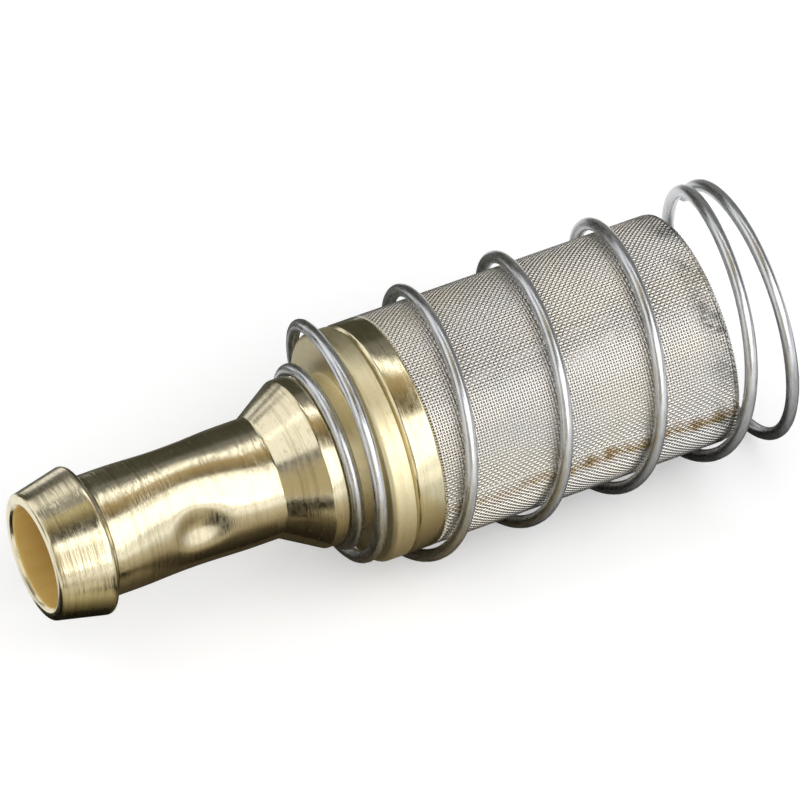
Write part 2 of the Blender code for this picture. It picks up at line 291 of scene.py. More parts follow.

# Cards for the cone, which looks down to its left: middles are counted that way from below the cone
# These cards paint a dark reflection on the cone and a warm pale one from the wall.
CONE_FOOT = Vector((21 * MM, -5 * MM, 0.2 * MM))
CONE_HEADING = math.radians(-125.811)
CONE_LEVEL_CARDS = {
    "flag_left": ({0: "#161510", 1: "#161510"}, (41, 16), (64.5, -5, 0)),
    "flag_left_near": ({-36: "#161510", -20: "#1A1812", -12: "#2A2416"}, (12, 7.5), (19, -2, 0)),
}
CONE_UPRIGHT_CARDS = {
    "flag_left_stand": ({0: "#161510", 1: "#161510"}, (10, 7), (24, 1, 3.5)),
    "flag_left_wall": ({0: "#ECDDB8", 1: "#ECDDB8"}, (60, 100), (101, 0, 50)),
}


def linear(code):
    """An sRGB hex colour as a linear colour with full alpha."""
    shares = [int(code[at:at + 2], 16) / 255 for at in (1, 3, 5)]
    return (*[s / 12.92 if s <= 0.04045 else ((s + 0.055) / 1.055) ** 2.4 for s in shares], 1.0)


def set_inputs(tree, node, inputs):
    """Gives a node's inputs their values and the links into them."""
    for socket, value in inputs.items():
        if isinstance(value, bpy.types.NodeSocket):
            tree.links.new(value, node.inputs[socket])
        else:
            node.inputs[socket].default_value = value


def add_node(tree, kind, inputs=None, stops=None, **settings):
    """Adds a node with its settings, its inputs, and its colour stops where it is a ramp."""
    made = tree.nodes.new(kind)
    for name, value in settings.items():
        setattr(made, name, value)
    set_inputs(tree, made, inputs or {})
    if stops:
        ramp = made.color_ramp.elements
        first, *middle, last = sorted(stops)
        ramp[0].position, ramp[1].position = first, last
        ramp[0].color, ramp[1].color = linear(stops[first]), linear(stops[last])
        for place in middle:
            ramp.new(place).color = linear(stops[place])
    return made


def new_material(name):
    """An empty material with its tree and its Principled shader."""
    material = bpy.data.materials.new(name)
    material.use_nodes = True
    tree = material.node_tree
    return material, tree, tree.nodes["Principled BSDF"]


def turned_brass(name, pale, deep, roughness, mark_height):
    """Free-cutting brass off the lathe: pale gold, ringed with fine tool marks, with small dark specks."""
    material, tree, shader = new_material(name)
    place = add_node(tree, "ShaderNodeTexCoord").outputs["Object"]
    # The tool leaves a ring every 0.1 mm or so, drawn from 0.4 mm down so that it shows: the noise is
    # squeezed along X and almost even round it
    squeezed = add_node(
        tree, "ShaderNodeMapping",
        {"Vector": place, "Scale": (1 / TOOL_RING, 1 / TOOL_SWEEP, 1 / TOOL_SWEEP)},
    )
    marks = add_node(
        tree, "ShaderNodeTexNoise",
        {"Vector": squeezed.outputs[0], "Scale": 1.0, "Detail": 4.0, "Roughness": 0.75},
    )
    # Handling leaves specks of about 0.4 mm, drawn out a little round the turning
    drawn_out = add_node(
        tree, "ShaderNodeMapping",
        {"Vector": place, "Scale": (1 / SPECK_LENGTH, 1 / SPECK_ROUND, 1 / SPECK_ROUND)},
    )
    specks = add_node(
        tree, "ShaderNodeTexNoise",
        {"Vector": drawn_out.outputs[0], "Scale": 1.0, "Detail": 4.0, "Roughness": 0.65},
    )
    dirt = add_node(
        tree, "ShaderNodeMapRange",
        {"Value": specks.outputs["Fac"], "From Min": 0.56, "From Max": 0.82, "To Min": 0.0, "To Max": 0.6},
    )
    scores = add_node(
        tree, "ShaderNodeMapRange",
        {"Value": marks.outputs["Fac"], "From Min": 0.5, "From Max": 0.8, "To Min": 0.0, "To Max": 0.65},
    )
    darkened = add_node(
        tree, "ShaderNodeMath", {0: dirt.outputs[0], 1: scores.outputs[0]}, operation="MAXIMUM"
    )
    colour = add_node(
        tree, "ShaderNodeMix", {0: darkened.outputs[0], 6: linear(pale), 7: linear(deep)}, data_type="RGBA"
    )
    gloss = add_node(
        tree, "ShaderNodeMapRange",
        {"Value": specks.outputs["Fac"], "From Min": 0.3, "From Max": 0.75,
         "To Min": roughness - ROUGHNESS_LESS, "To Max": roughness + ROUGHNESS_MORE},
    )
    bump = add_node(
        tree, "ShaderNodeBump", {"Height": marks.outputs["Fac"], "Strength": 1.0, "Distance": mark_height}
    )
    set_inputs(tree, shader, {
        "Base Color": colour.outputs[2], "Roughness": gloss.outputs[0],
        "Normal": bump.outputs[0], "Metallic": 1.0,
    })
    return material


def bored_brass(name):
    """Brass dulled inside the bore by oil and drawing, with no clear reflections: its soft, deep gold is
    painted light for the light and the golden reflections inside the bore.
    """
    material, tree, shader = new_material(name)
    place = add_node(tree, "ShaderNodeTexCoord").outputs["Object"]
    # Streaks of about 1 mm run along the bore
    streaks = add_node(
        tree, "ShaderNodeMapping",
        {"Vector": place, "Scale": (1 / BORE_STREAK_LENGTH, 1 / BORE_STREAK_WIDTH, 1 / BORE_STREAK_WIDTH)},
    )
    dull = add_node(
        tree, "ShaderNodeTexNoise",
        {"Vector": streaks.outputs[0], "Scale": 1.0, "Detail": 3.0, "Roughness": 0.6},
    )
    # Painted light: a deeper, brighter gold than the outside brass, with a diffuse share, for the
    # reflections inside the bore
    colour = add_node(
        tree, "ShaderNodeMix", {0: dull.outputs["Fac"], 6: linear("#F1D58C"), 7: linear("#DCBA66")},
        data_type="RGBA",
    )
    set_inputs(tree, shader, {"Base Color": colour.outputs[2], "Metallic": 0.2, "Roughness": 0.45})
    return material


def drawn_steel(name):
    """Stainless spring wire: grey, smooth from the drawing die, with faint lines along its length."""
    material, tree, shader = new_material(name)
    along = add_node(tree, "ShaderNodeUVMap", uv_map="UVMap")
    # The UV map runs once along the wire and once round it
    cells = (WIRE_LENGTH / WIRE_LINE_LENGTH, math.tau * WIRE_RADIUS / WIRE_LINE_WIDTH, 1.0)
    stretch = add_node(tree, "ShaderNodeMapping", {"Vector": along.outputs[0], "Scale": cells})
    lines = add_node(
        tree, "ShaderNodeTexNoise",
        {"Vector": stretch.outputs[0], "Scale": 1.0, "Detail": 3.0, "Roughness": 0.6},
    )
    colour = add_node(
        tree, "ShaderNodeValToRGB", {"Fac": lines.outputs["Fac"]}, stops={0.3: "#BABCBF", 0.7: "#DADBDD"}
    )
    gloss = add_node(
        tree, "ShaderNodeMapRange",
        {"Value": lines.outputs["Fac"], "From Min": 0.3, "From Max": 0.7, "To Min": 0.24, "To Max": 0.34},
    )
    set_inputs(tree, shader, {
        "Base Color": colour.outputs["Color"], "Roughness": gloss.outputs[0], "Metallic": 1.0,
    })
    return material


def cloth_steel(name):
    """Woven stainless wire cloth: silver grey, a little uneven, straw and brown at its spot welds."""
    material, tree, shader = new_material(name)
    place = add_node(tree, "ShaderNodeTexCoord").outputs["Object"]
    patches = add_node(
        tree, "ShaderNodeTexNoise",
        {"Vector": place, "Scale": 1 / CLOTH_PATCH, "Detail": 3.0, "Roughness": 0.55},
    )
    colour = add_node(
        tree, "ShaderNodeValToRGB", {"Fac": patches.outputs["Fac"]},
        stops={0.35: "#E4E2DF", 0.65: "#EFEAE2"},
    )
    weld = add_node(tree, "ShaderNodeAttribute", attribute_name="weld_tint")
    tint = add_node(
        tree, "ShaderNodeValToRGB", {"Fac": weld.outputs["Fac"]},
        stops={0.0: "#FFFFFF", 0.4: "#C9B694", 1.0: "#554838"},
    )
    tinted = add_node(
        tree, "ShaderNodeMix", {0: 1.0, 6: colour.outputs["Color"], 7: tint.outputs["Color"]},
        data_type="RGBA", blend_type="MULTIPLY",
    )
    # Painted shade: the cloth greyer over the cup's skirt
    hem = add_node(tree, "ShaderNodeAttribute", attribute_name="hem_painted_shade")
    skirt_shade = add_node(
        tree, "ShaderNodeValToRGB", {"Fac": hem.outputs["Fac"]}, stops={0.0: "#FFFFFF", 1.0: "#5E6264"}
    )
    skirt_shaded = add_node(
        tree, "ShaderNodeMix", {0: 1.0, 6: tinted.outputs[2], 7: skirt_shade.outputs["Color"]},
        data_type="RGBA", blend_type="MULTIPLY",
    )
    set_inputs(tree, shader, {"Base Color": skirt_shaded.outputs[2], "Metallic": 1.0, "Roughness": 0.3})
    return material


def polished_ball(name):
    """Hardened steel ball, ground and lapped: almost a mirror."""
    material, tree, shader = new_material(name)
    place = add_node(tree, "ShaderNodeTexCoord").outputs["Object"]
    haze = add_node(tree, "ShaderNodeTexNoise", {"Vector": place, "Scale": 1 / BALL_HAZE, "Detail": 3.0})
    gloss = add_node(
        tree, "ShaderNodeMapRange",
        {"Value": haze.outputs["Fac"], "From Min": 0.3, "From Max": 0.7, "To Min": 0.06, "To Max": 0.16},
    )
    set_inputs(tree, shader, {
        "Base Color": linear("#B4B6B8"), "Roughness": gloss.outputs[0], "Metallic": 1.0,
    })
    return material


def add_piece(name, bm, materials, body, replaces=()):
    """Makes a bmesh into a smooth piece that rides on a body."""
    mesh = bpy.data.meshes.new(name)
    bm.to_mesh(mesh)
    bm.free()
    return add_mesh(name, mesh, materials, body, replaces)


def add_mesh(name, mesh, materials, body, replaces=()):
    """Makes a mesh into a smooth piece that rides on a body."""
    for material in materials:
        mesh.materials.append(material)
    mesh.shade_smooth()
    piece = bpy.data.objects.new(name, mesh)
    bpy.context.collection.objects.link(piece)
    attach(piece, body)
    if replaces:
        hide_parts(*replaces)
    return piece


def turned(corners, facet=None):
    """A solid of revolution about X from (x, radius, edge rounding) corners, facetted along its outline."""
    bm = bmesh.new()
    outline = [bm.verts.new((x, 0, radius)) for x, radius, _ in corners]
    for pair in zip(outline, outline[1:] + outline[:1]):
        bm.edges.new(pair)
    for vert, (_, _, rounding) in zip(outline, corners):
        if rounding > 0:
            bmesh.ops.bevel(
                bm, geom=[vert], offset=rounding, segments=EDGE_STEPS, profile=0.5, affect="VERTICES",
                material=-1,
            )
    if facet:
        for edge in list(bm.edges):
            cuts = int(edge.calc_length() / facet)
            if cuts:
                bmesh.ops.subdivide_edges(bm, edges=[edge], cuts=cuts)
    bmesh.ops.spin(
        bm, geom=bm.verts[:] + bm.edges[:], cent=(0, 0, 0), axis=(1, 0, 0), dvec=(0, 0, 0),
        angle=math.tau, steps=TURNED_STEPS, use_merge=True, use_duplicate=False,
    )
    bmesh.ops.remove_doubles(bm, verts=bm.verts, dist=MERGE_DISTANCE)
    bmesh.ops.recalc_face_normals(bm, faces=bm.faces)
    return bm


def dent(share, depth):
    """A smooth hollow: its depth at a share of the way from its middle to its edge."""
    return depth * math.cos(min(share, 1.0) * math.pi / 2) ** 2


def crimp_insets(x, angle):
    """How far the crimping tool pushed the neck in at a place: outside, and at the stop it made inside."""
    outer = inner = 0.0
    for index in range(CRIMP_COUNT):
        turn = angle - CRIMP_ANGLE - index * math.tau / CRIMP_COUNT
        along = x - CRIMP_X
        around = NECK_RADIUS * math.remainder(turn, math.tau)
        distance = math.hypot(along, around)
        pit_length = CRIMP_PIT_BEFORE if along < 0 else CRIMP_PIT_AFTER
        outer += dent(distance / CRIMP_WIDE, CRIMP_WIDE_DEPTH)
        outer += dent(math.hypot(along / pit_length, around / CRIMP_PIT_ROUND), CRIMP_PIT_DEPTH)
        inner += dent(distance / CRIMP_STOP_WIDTH, CRIMP_STOP_DEPTH)
    return outer, max(inner, outer - CRIMP_WALL_LOSS, 0.0)


def tail_finish(place):
    """A place's finish on the tail: matt under and behind the coils, smooth on the cone and its lip."""
    radius = math.hypot(place.y, place.z)
    if radius < BORE_RADIUS + MOUTH_COUNTERSINK / 2:
        return BORED
    if radius > SOCKET_RADIUS and place.x > GROOVE_X:
        return MATT
    return SMOOTH if CONE_X < place.x < GROOVE_X else BRIGHT


def hose_tail():
    """The tail turned in one piece, with its neck crimped on two sides."""
    outside = [
        (0, MOUTH_RADIUS, MOUTH_EDGE),
        (BARB_TOP_X, BARB_RADIUS, BARB_EDGE),
        (NECK_X, NECK_RADIUS, PLAIN_EDGE),
        (CONE_X, NECK_RADIUS, ROOT_EDGE),
        (LIP_X, LIP_RADIUS, PLAIN_EDGE),
        (GROOVE_X, LIP_RADIUS, PLAIN_EDGE),
        (GROOVE_X, GROOVE_RADIUS, ROOT_EDGE),
        (COLLAR_X, GROOVE_RADIUS, ROOT_EDGE),
        (COLLAR_X, COLLAR_RADIUS - COLLAR_CHAMFER, PLAIN_EDGE),
        (COLLAR_X + COLLAR_CHAMFER, COLLAR_RADIUS, COLLAR_EDGE),
        (BODY_END_X, COLLAR_RADIUS, ROOT_EDGE),
    ]
    inside = [
        (0, BORE_RADIUS + MOUTH_COUNTERSINK, FINE_EDGE),
        (MOUTH_COUNTERSINK, BORE_RADIUS, PLAIN_EDGE),
        (SHOULDER_X, BORE_RADIUS, SQUARE_EDGE),
        (SHOULDER_X, SOCKET_RADIUS, SQUARE_EDGE),
        (BODY_END_X, SOCKET_RADIUS, PLAIN_EDGE),
    ]
    bm = turned(outside + inside[::-1], WALL_FACET)
    for face in bm.faces:
        face.material_index = tail_finish(face.calc_center_median())
    for vert in bm.verts:
        radius = math.hypot(vert.co.y, vert.co.z)
        outer, inner = crimp_insets(vert.co.x, math.atan2(vert.co.z, vert.co.y))
        inset = outer if radius > (NECK_RADIUS + BORE_RADIUS) / 2 else inner
        vert.co.yz = vert.co.yz * (1 - inset / radius)
    finishes = {
        BRIGHT: turned_brass("turned_brass", "#DED4B6", "#8F7F55", roughness=0.17, mark_height=0.03 * MM),
        BORED: bored_brass("bored_brass"),
        MATT: turned_brass("matt_brass", "#ECE1BC", "#BEA870", roughness=0.42, mark_height=0.01 * MM),
        SMOOTH: turned_brass("smooth_brass", "#DED4B6", "#8F7F55", roughness=0.17, mark_height=0.012 * MM),
    }
    materials = [finishes[index] for index in sorted(finishes)]
    add_piece("tail_of_turned_brass", bm, materials, "strainer", ["hose_tail_body"])


def foot_valve():
    """The check ball and the bush that it closes on."""
    bm = bmesh.new()
    place = Matrix.Translation((BALL_X, 0, 0)) @ Matrix.Rotation(QUARTER_TURN, 4, "Y")
    bmesh.ops.create_uvsphere(
        bm, u_segments=BALL_AROUND, v_segments=BALL_RINGS, radius=BALL_RADIUS, matrix=place,
    )
    add_piece("lapped_ball", bm, [polished_ball("lapped_steel")], "ball", ["valve_ball"])
    seat = [
        (SEAT_NOSE_X, SEAT_NOSE_RADIUS, SEAT_EDGE),
        (SEAT_FLANGE_X, SEAT_NOSE_RADIUS, SQUARE_EDGE),
        (SEAT_FLANGE_X, SEAT_FLANGE_RADIUS, SEAT_EDGE),
        (SEAT_END_X, SEAT_FLANGE_RADIUS, SEAT_EDGE),
        (SEAT_END_X, SEAT_BACK_RADIUS, PLAIN_EDGE),
        (SEAT_BACK_X, SEAT_BACK_RADIUS, SQUARE_EDGE),
        (SEAT_BACK_X, SEAT_HOLE_RADIUS, PLAIN_EDGE),
        (SEAT_NOSE_X + SEAT_CONE_DEPTH, SEAT_HOLE_RADIUS, CRISP_EDGE),
        (SEAT_NOSE_X, SEAT_HOLE_RADIUS + SEAT_CONE_DEPTH, CRISP_EDGE),
    ]
    brass = turned_brass("seat_brass", "#D8C48C", "#94804C", roughness=0.26, mark_height=0.02 * MM)
    add_piece("seat_bush", turned(seat), [brass], "strainer", ["valve_seat"])


def strainer_ring():
    """The second collar, with a spigot into the tail and a tongue that carries the basket."""
    outline = [
        (RING_SPIGOT_X, RING_SPIGOT_RADIUS, SPIGOT_EDGE),
        (RING_COLLAR_X, RING_SPIGOT_RADIUS, SQUARE_EDGE),
        (RING_COLLAR_X, COLLAR_RADIUS - RING_CHAMFER, FINE_EDGE),
        (RING_COLLAR_X + RING_CHAMFER, COLLAR_RADIUS, ROOT_EDGE),
        (RING_TONGUE_X - RING_BACK_CHAMFER, COLLAR_RADIUS, PLAIN_EDGE),
        (RING_TONGUE_X, COLLAR_RADIUS - RING_BACK_CHAMFER, CRISP_EDGE),
        (RING_TONGUE_X, RING_TONGUE_RADIUS, SQUARE_EDGE),
        (RING_END_X, RING_TONGUE_RADIUS, SPIGOT_EDGE),
        (RING_END_X, RING_CUP_RADIUS, SPIGOT_EDGE),
        (RING_CUP_X, RING_CUP_RADIUS, SQUARE_EDGE),
        (RING_CUP_X, RING_BORE_RADIUS, PLAIN_EDGE),
        (RING_SPIGOT_X, RING_BORE_RADIUS, PLAIN_EDGE),
    ]
    brass = turned_brass("ring_brass", "#E4DAB8", "#9C8A5C", roughness=0.17, mark_height=0.014 * MM)
    add_piece("ring_of_turned_brass", turned(outline), [brass], "strainer", ["strainer_ring"])


def zigzag_wire(bm, points, sides, outs):
    """One square-drawn cloth wire through points, each with its sideways and outward direction."""
    first = len(bm.verts)
    made = bmesh.ops.create_cube(bm, size=1.0)
    edges = {edge for vert in made["verts"] for edge in vert.link_edges}
    along = [edge for edge in edges if abs(edge.verts[0].co.x - edge.verts[1].co.x) > 0.5]
    bmesh.ops.subdivide_edges(bm, edges=along, cuts=len(points) - 2)
    bm.verts.ensure_lookup_table()
    thick = CLOTH_WIRE * CLOTH_SIDE
    for vert in bm.verts[first:]:
        at = round((vert.co.x + 0.5) * (len(points) - 1))
        vert.co = points[at] + sides[at] * (vert.co.y * thick) + outs[at] * (vert.co.z * thick)


def radial(angle):
    """The direction away from the part's axis at an angle from +Y towards +Z."""
    return Vector((0, math.cos(angle), math.sin(angle)))


def cloth_stations():
    """Where the hoops cross along the basket: x, radius and the outward slant, round the turned-in end."""
    straight = CLOTH_END_X - CLOTH_BEND - CLOTH_X
    quarter = CLOTH_BEND * math.pi / 2
    count = round((straight + quarter + CLOTH_TURN_IN) / CLOTH_PITCH)
    stations = []
    for index in range(count + 1):
        run = index * CLOTH_PITCH
        turn = min(max((run - straight) / CLOTH_BEND, 0.0), math.pi / 2)
        inward = max(run - straight - quarter, 0.0)
        x = CLOTH_X + min(run, straight) + CLOTH_BEND * math.sin(turn)
        radius = CLOTH_RADIUS - CLOTH_BEND * (1 - math.cos(turn)) - inward
        stations.append((x, radius, turn))
    return stations


def lengthwise_wire(bm, number, stations, lift=0.0):
    """A wire along the basket, over and under the hoops in turn."""
    spoke = radial(number * CLOTH_STEP)
    side = radial(number * CLOTH_STEP + math.pi / 2)
    points, outs = [], []
    for index, (x, radius, turn) in enumerate(stations):
        out = spoke * math.cos(turn) + Vector((math.sin(turn), 0, 0))
        wave = CLOTH_WIRE / 2 * (-1) ** (index + number)
        points.append(Vector((x, 0, 0)) + spoke * (radius + lift) + out * wave)
        outs.append(out)
    zigzag_wire(bm, points, [side] * len(points), outs)


def hoop_wire(bm, number, station):
    """A wire round the basket, under and over the lengthwise wires in turn."""
    x, radius, turn = station
    first = len(bm.verts)
    place = Matrix.Translation((x, radius, 0)) @ Matrix.Rotation(QUARTER_TURN / 2, 4, "Z")
    ring = bmesh.ops.create_circle(bm, segments=4, radius=CLOTH_WIRE * CLOTH_CORNER, matrix=place)["verts"]
    edges = list({edge for vert in ring for edge in vert.link_edges})
    bmesh.ops.spin(
        bm, geom=ring + edges, cent=(0, 0, 0), axis=(1, 0, 0), dvec=(0, 0, 0),
        angle=math.tau, steps=CLOTH_AROUND, use_merge=True, use_duplicate=False,
    )
    bm.verts.ensure_lookup_table()
    for vert in bm.verts[first:]:
        angle = math.atan2(vert.co.z, vert.co.y)
        out = radial(angle) * math.cos(turn) + Vector((math.sin(turn), 0, 0))
        vert.co -= out * (CLOTH_WIRE / 2 * (-1) ** (number + round(angle / CLOTH_STEP)))


def copy_pair(bm, pairs, turn, shift):
    """Copies a pair of wires on, each copy turned about the axis and shifted along it from the last."""
    if pairs > 1:
        bmesh.ops.spin(
            bm, geom=bm.verts[:] + bm.edges[:] + bm.faces[:], cent=(0, 0, 0), axis=(1, 0, 0),
            dvec=(shift, 0, 0), angle=turn * (pairs - 1), steps=pairs - 1,
            use_merge=False, use_duplicate=True,
        )


def lengthwise_wires(first, count, stations):
    """An even count of wires along the basket, from a first one on."""
    bm = bmesh.new()
    lengthwise_wire(bm, first, stations)
    lengthwise_wire(bm, first + 1, stations)
    copy_pair(bm, count // 2, 2 * CLOTH_STEP, 0.0)
    bmesh.ops.recalc_face_normals(bm, faces=bm.faces)
    return bm


def hoop_wires(first, count, stations):
    """An even count of hoops on the basket's straight length, from a first one on."""
    bm = bmesh.new()
    hoop_wire(bm, first, stations[first])
    hoop_wire(bm, first + 1, stations[first + 1])
    copy_pair(bm, count // 2, 0.0, 2 * CLOTH_PITCH)
    bmesh.ops.recalc_face_normals(bm, faces=bm.faces)
    return bm


def tint_cloth(piece):
    """Marks the spot welds along the lap and the painted shade over the skirt as point attributes."""
    mesh = piece.data
    places = np.zeros(len(mesh.vertices) * 3)
    mesh.vertices.foreach_get("co", places)
    x, y, z = places.reshape(-1, 3).T
    around = (np.arctan2(z, y) - LAP_ANGLE + np.pi) % math.tau - np.pi
    # Each crossing of the weave takes the heat tint and the painted shade in its own way
    mix_along, mix_around, mix_all = CROSSING_MIX
    mixed = mix_along * np.round(x / CLOTH_PITCH) + mix_around * np.round(around / CLOTH_STEP)
    crossing = np.sin(mixed) * mix_all
    crossing = crossing - np.floor(crossing)
    # A weld is strongest at its middle, and the welds grow browner towards the basket's end
    run = x - RING_END_X
    spot = np.round(run / WELD_SPACING)
    along = run - (spot + WELD_SHIFT * np.sin(spot * WELD_SHIFT_BEAT)) * WELD_SPACING
    across = around * CLOTH_RADIUS - WELD_WANDER * np.sin(spot * WELD_WANDER_BEAT)
    strength = WELD_STRENGTH + (1 - WELD_STRENGTH) * np.sin(spot * WELD_STRENGTH_BEAT)
    spots = np.clip(WELD_CORE - np.hypot(along, across) / WELD_RADIUS, 0, 1) * strength
    line = SEAM_TINT * np.clip(1 - np.abs(across) / WELD_RADIUS, 0, 1)
    growth = FIRST_WELD + (1 - FIRST_WELD) * np.clip(run / WELD_GROWTH, 0, 1)
    tint = np.maximum(spots, line) * growth * (CROSSING_LEAST + crossing)
    mesh.attributes.new("weld_tint", "FLOAT", "POINT").data.foreach_set("value", tint.astype(np.float32))
    # Over the cup's skirt the cloth is painted a darker grey, unevenly: painted shade
    small = np.sin(around * SMALL_BLOTCHES + BLOTCH_SWAY * np.sin(x / HEM_SHADE_SCALE))
    blotch = (1 + small * np.sin(around * LARGE_BLOTCHES + BLOTCH_START)) / 2
    taken = CROSSING_LEAST + (1 - CROSSING_LEAST) * crossing
    skirt_shade = np.clip((x - SKIRT_X) / HEM_SHADE_SCALE, 0, 1) * blotch * taken
    mesh.attributes.new("hem_painted_shade", "FLOAT", "POINT").data.foreach_set("value", skirt_shade.astype(np.float32))


def lap_lift(place):
    """How far the lap's upper layer stands off the tube at a wire: most at its middle."""
    return LAP_LIFT * math.sin(math.pi * (place + 1) / (LAP_WIRES + 1))


def basket():
    """The tube of cloth with its lap and its turned-in hem, and the cup that closes it."""
    steel = cloth_steel("woven_stainless")
    stations = cloth_stations()
    straight = [station for station in stations if station[2] == 0.0]
    half = CLOTH_AROUND // 2
    # Hoops are copied in pairs, and what is left over goes with the hem
    near = len(straight) // 4 * 2
    far = (len(straight) - 1 - near) // 2 * 2
    shapes = {
        "basket_lengthwise_front": lengthwise_wires(half // 2, half, stations),
        "basket_lengthwise_back": lengthwise_wires(half // 2 + half, half, stations),
        "basket_hoops_near": hoop_wires(1, near, stations),
        "basket_hoops_far": hoop_wires(1 + near, far, stations),
        "basket_hem": bmesh.new(),
        "basket_lap": bmesh.new(),
    }
    for number in range(1 + near + far, len(stations)):
        hoop_wire(shapes["basket_hem"], number, stations[number])
    bmesh.ops.recalc_face_normals(shapes["basket_hem"], faces=shapes["basket_hem"].faces)
    lap = shapes["basket_lap"]
    first = round(LAP_ANGLE / CLOTH_STEP) - LAP_WIRES // 2
    for number in range(first, first + LAP_WIRES):
        lengthwise_wire(lap, number, straight, lap_lift(number - first))
    numbers = range(first - 1, first + LAP_WIRES + 1)
    outs = [radial(number * CLOTH_STEP) for number in numbers]
    for index, (x, radius, _) in enumerate(straight[1:], start=1):
        points = []
        for number, out in zip(numbers, outs):
            wave = CLOTH_WIRE / 2 * (-1) ** (index + number)
            points.append(Vector((x, 0, 0)) + out * (radius + lap_lift(number - first) - wave))
        zigzag_wire(lap, points, [Vector((1, 0, 0))] * len(points), outs)
    bmesh.ops.recalc_face_normals(lap, faces=lap.faces)
    for name, bm in shapes.items():
        tint_cloth(add_piece(name, bm, [steel], "strainer", ["strainer_mesh_tube"]))
    basket_end()


def basket_end():
    """The woven cup that closes the basket: a flat disc and a skirt inside the tube."""
    steel = cloth_steel("woven_stainless_end")
    bm = bmesh.new()
    count = int(END_CLOTH_RADIUS / CLOTH_PITCH)
    out = Vector((1, 0, 0))
    for line in (Vector((0, 1, 0)), Vector((0, 0, 1))):
        side = out.cross(line)
        flip = 0 if line.y else 1
        for number in range(-count, count + 1):
            off = number * CLOTH_PITCH
            reach = int(math.sqrt(END_CLOTH_RADIUS ** 2 - off ** 2) / CLOTH_PITCH)
            if reach < 1:
                continue
            points = [
                Vector((END_CLOTH_X, 0, 0)) + line * (at * CLOTH_PITCH) + side * off
                + out * (CLOTH_WIRE / 2 * (-1) ** (number + at + flip))
                for at in range(-reach, reach + 1)
            ]
            zigzag_wire(bm, points, [side] * len(points), [out] * len(points))
    bmesh.ops.recalc_face_normals(bm, faces=bm.faces)
    add_piece("basket_end_disc", bm, [steel], "strainer", ["strainer_mesh_end"])
    rows = int((END_CLOTH_X - SKIRT_X) / CLOTH_PITCH)
    stations = [(SKIRT_X + row * CLOTH_PITCH, SKIRT_RADIUS, 0.0) for row in range(rows + 1)]
    skirt = lengthwise_wires(0, CLOTH_AROUND, stations)
    add_piece("basket_skirt_lengthwise", skirt, [steel], "strainer")
    hoops = hoop_wires(0, len(stations), stations)
    add_piece("basket_skirt_hoops", hoops, [steel], "strainer")


def spring_point(turn, grown):
    """A point on the spring's wire at a turn count from its first end."""
    for before, after in zip(SPRING_COURSE, SPRING_COURSE[1:]):
        share = (turn - before[0]) / (after[0] - before[0])
        if turn <= after[0]:
            break
    radius, x, lean = [low + (high - low) * share for low, high in zip(before[1:], after[1:])]
    angle = SPRING_START_ANGLE - turn * math.tau
    leaned = x + lean * math.cos(angle - SPRING_LEAN_ANGLE)
    return Vector((leaned, 0, 0)) + radial(angle) * (radius * grown)


def guard_spring():
    """The spring's wire, a curve with a round section that shortens towards its free end."""
    step = 1 / SPRING_POINTS
    # A cubic curve runs inside its points, so these stand out by as much as it falls short
    grown = 3 / (2 + math.cos(step * math.tau))
    # One point more before the first end and one past the last
    count = round(SPRING_COURSE[-1][0] * SPRING_POINTS) + 3
    curve = bpy.data.curves.new("spring_line", "CURVE")
    curve.dimensions = "3D"
    curve.bevel_depth = WIRE_RADIUS
    curve.bevel_resolution = WIRE_ROUNDING
    curve.use_fill_caps = True
    curve.resolution_u = WIRE_STEPS
    spline = curve.splines.new("NURBS")
    spline.points.add(count - 1)
    for index, point in enumerate(spline.points):
        point.co = (*spring_point((index - 1) * step, grown), 1.0)
    spline.order_u = 4
    spline.resolution_u = WIRE_STEPS
    holder = bpy.data.objects.new("spring_line", curve)
    bpy.context.collection.objects.link(holder)
    shown = holder.evaluated_get(bpy.context.evaluated_depsgraph_get())
    mesh = bpy.data.meshes.new_from_object(shown)
    bpy.data.objects.remove(holder)
    steel = drawn_steel("drawn_stainless")
    piece = add_mesh("spring_of_drawn_wire", mesh, [steel], "spring", ["guard_spring"])
    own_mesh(piece)


def camera():
    """The camera, placed so that the mouth's middle falls on its pixel."""
    right = LOOK.cross(Vector((0, 0, 1))).normalized()
    up = right.cross(LOOK)
    across = (PHOTO_SIZE / 2 - MOUTH_PIXEL[0]) / PHOTO_SCALE
    rise = (MOUTH_PIXEL[1] - PHOTO_SIZE / 2) / PHOTO_SCALE
    aim = right * across + up * rise + LOOK * LOOK.dot(PART_MIDDLE)
    data = bpy.data.cameras.new("camera")
    data.sensor_width = SENSOR
    data.lens = PHOTO_SCALE * CAMERA_DISTANCE * SENSOR / PHOTO_SIZE
    data.clip_end = CAMERA_REACH
    eye = bpy.data.objects.new("camera", data)
    eye.location = aim - LOOK * CAMERA_DISTANCE
    eye.rotation_mode = "QUATERNION"
    eye.rotation_quaternion = LOOK.to_track_quat("-Z", "Y")
    bpy.context.collection.objects.link(eye)
    bpy.context.scene.camera = eye


def softbox(name, degrees, lean, size, radiance, roll):
    """A rectangular lamp of a given brightness that looks at the part's middle."""
    data = bpy.data.lights.new(name, "AREA")
    data.shape = "RECTANGLE"
    data.size, data.size_y = size
    data.energy = radiance * math.pi * size[0] * size[1]
    lamp = bpy.data.objects.new(name, data)
    away = Vector((lean, 0, 0)) + radial(math.radians(degrees)) * math.sqrt(1 - lean * lean)
    lamp.location = PART_MIDDLE + away * LAMP_DISTANCE
    lamp.rotation_mode = "QUATERNION"
    lamp.rotation_quaternion = (-away).to_track_quat("-Z", "Y") @ Quaternion((0, 0, 1), math.radians(roll))
    lamp.visible_camera = False
    bpy.context.collection.objects.link(lamp)


